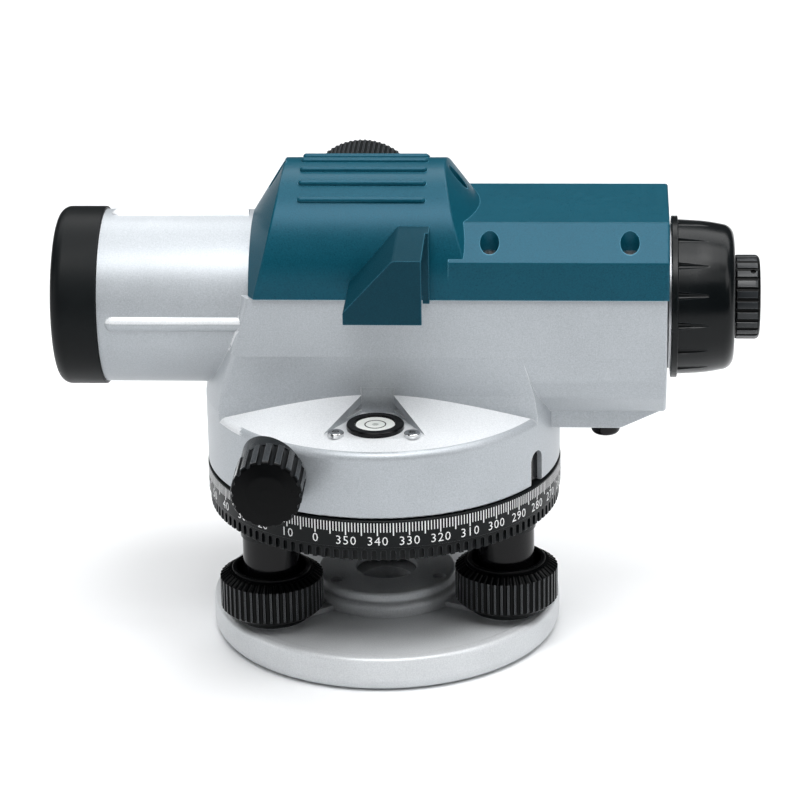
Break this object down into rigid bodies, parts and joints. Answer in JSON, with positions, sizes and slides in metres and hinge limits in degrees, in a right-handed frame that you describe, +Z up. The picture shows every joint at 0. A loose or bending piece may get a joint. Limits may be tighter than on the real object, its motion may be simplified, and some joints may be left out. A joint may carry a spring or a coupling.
{
  "type": "automatic level",
  "caption": "Automatic level with footscrew tribrach, graduated circle, focusing telescope, swinging compensator and circular bubble under a mirror hood.",
  "frame": {"origin": "axis of the tripod thread at the underside of the base plate", "axes": "+Z up along the vertical axis, +X along the telescope towards the eyepiece"},
  "size_m": [0.215, 0.135, 0.1535],
  "materials": {
    "silver_paint": "fine satin texture",
    "blue_paint": "fine satin texture",
    "black_plastic": "satin moulded",
    "black_gloss": "gloss",
    "circle_black": "satin with white graduations",
    "steel": "machined",
    "chrome": "polished",
    "aluminium": "anodised",
    "brass": "machined",
    "rubber": "matte",
    "glass": "polished",
    "bubble_glass": "polished",
    "mirror": "polished",
    "magnet": "ground"
  },
  "bodies": {
    "base": {"base_plate": "silver_paint", "spring_plate": "silver_paint", "spring_plate_screws": "steel", "foot_pads": "black_plastic"},
    "tribrach": {"tribrach_body": "silver_paint", "footscrew_sleeves": "black_gloss", "centre_spindle": "steel", "spindle_washer": "steel"},
    "footscrew_1": {"footscrew_screw_1": "steel", "footscrew_knob_1": "black_plastic"},
    "footscrew_2": {"footscrew_screw_2": "steel", "footscrew_knob_2": "black_plastic"},
    "footscrew_3": {"footscrew_screw_3": "steel"},
    "footscrew_3_knob": {"footscrew_knob_3": "black_plastic"},
    "circle": {"graduated_circle": "circle_black"},
    "tangent_drive": {"tangent_shaft": "steel", "tangent_knob_left": "black_plastic", "tangent_knob_right": "black_plastic"},
    "worm_gear": {"worm_wheel": "brass"},
    "focus_drive": {"focus_knob": "black_plastic", "focus_shaft": "steel", "focus_pinion": "brass"},
    "focus_carriage": {"focus_lens_cell": "aluminium", "focus_lens": "glass", "focus_rack": "brass"},
    "pendulum": {"pendulum_arm": "aluminium", "pendulum_prism": "glass"},
    "eyepiece": {"eyepiece_ring": "black_plastic", "eyepiece_lens": "glass"},
    "bell": {"eyepiece_cover": "black_plastic"},
    "button": {"lock_button": "black_plastic"},
    "head": {"main_housing": "silver_paint", "top_cover": "blue_paint", "cover_gasket": "rubber", "cover_screws": "steel", "mirror_hood": "blue_paint", "bubble_mirror": "mirror", "objective_ring": "black_plastic", "objective_cell": "aluminium", "objective_lens": "glass", "bubble_cup": "black_plastic", "bubble_vial": "bubble_glass", "bubble_screws": "chrome", "circle_index": "black_plastic", "tangent_bushes": "black_plastic", "bearing_bush": "brass", "housing_floor": "aluminium", "floor_screws": "steel", "compensator_frame": "aluminium", "compensator_wires": "steel", "fixed_prism": "glass", "damper_magnet": "magnet", "reticle_cell": "brass", "reticle_glass": "glass", "reticle_screw": "steel", "eyepiece_barrel": "aluminium", "focus_bush": "brass", "guide_ring": "aluminium", "guide_rods": "steel"}
  },
  "joints": [
    {"name": "level_tilt", "type": "hinge", "parent": "base", "child": "tribrach", "pos_m": [0.03855, -0.01716, 0.0075], "axis": [0.9945, 0.1045, 0], "range_deg": [-1.5, 1.5]},
    {"name": "footscrew_1_turn", "type": "hinge", "parent": "tribrach", "child": "footscrew_1", "pos_m": [0.03855, -0.01716, 0.0075], "axis": [0, 0, 1], "range_deg": [-1080, 1080]},
    {"name": "footscrew_2_turn", "type": "hinge", "parent": "tribrach", "child": "footscrew_2", "pos_m": [-0.03414, -0.02481, 0.0075], "axis": [0, 0, 1], "range_deg": [-1080, 1080]},
    {"name": "footscrew_3_lift", "type": "slide", "parent": "tribrach", "child": "footscrew_3", "axis": [0, 0, 1], "range_m": [-0.0017, 0.0017]},
    {"name": "footscrew_3_turn", "type": "hinge", "parent": "footscrew_3", "child": "footscrew_3_knob", "pos_m": [-0.00441, 0.04197, 0.0075], "axis": [0, 0, 1], "range_deg": [-1080, 1080]},
    {"name": "circle_turn", "type": "hinge", "parent": "tribrach", "child": "circle", "pos_m": [0, 0, 0.05], "axis": [0, 0, 1], "continuous": true},
    {"name": "head_turn", "type": "hinge", "parent": "tribrach", "child": "head", "pos_m": [0, 0, 0.07], "axis": [0, 0, 1], "continuous": true},
    {"name": "tangent_turn", "type": "hinge", "parent": "head", "child": "tangent_drive", "pos_m": [-0.0307, 0, 0.0703], "axis": [0, 1, 0], "continuous": true},
    {"name": "worm_gear_turn", "type": "hinge", "parent": "head", "child": "worm_gear", "pos_m": [0, 0, 0.07], "axis": [0, 0, 1], "continuous": true},
    {"name": "focus_turn", "type": "hinge", "parent": "head", "child": "focus_drive", "pos_m": [-0.008, 0, 0.1273], "axis": [0, 1, 0], "range_deg": [-180, 180]},
    {"name": "focus_travel", "type": "slide", "parent": "head", "child": "focus_carriage", "axis": [1, 0, 0], "range_m": [-0.0101, 0.0101]},
    {"name": "compensator_swing", "type": "hinge", "parent": "head", "child": "pendulum", "pos_m": [0.041, 0, 0.129], "axis": [0, 1, 0], "range_deg": [-0.25, 0.25]},
    {"name": "eyepiece_turn", "type": "hinge", "parent": "head", "child": "eyepiece", "pos_m": [0.112, 0, 0.1091], "axis": [1, 0, 0], "range_deg": [-180, 180]},
    {"name": "eyepiece_cover_turn", "type": "hinge", "parent": "head", "child": "bell", "pos_m": [0.098, 0, 0.1091], "axis": [1, 0, 0], "range_deg": [0, 360]},
    {"name": "lock_button_press", "type": "slide", "parent": "head", "child": "button", "axis": [0, 0, 1], "range_m": [0, 0.002], "stiffness_N_per_m": 150, "springref_m": -0.001}
  ],
  "couplings": [
    {"joint": "footscrew_3_lift", "follows": "level_tilt", "m_per_rad": -0.0633},
    {"joint": "worm_gear_turn", "follows": "tangent_turn", "ratio": 0.016667},
    {"joint": "focus_travel", "follows": "focus_turn", "m_per_rad": -0.0032}
  ]
}
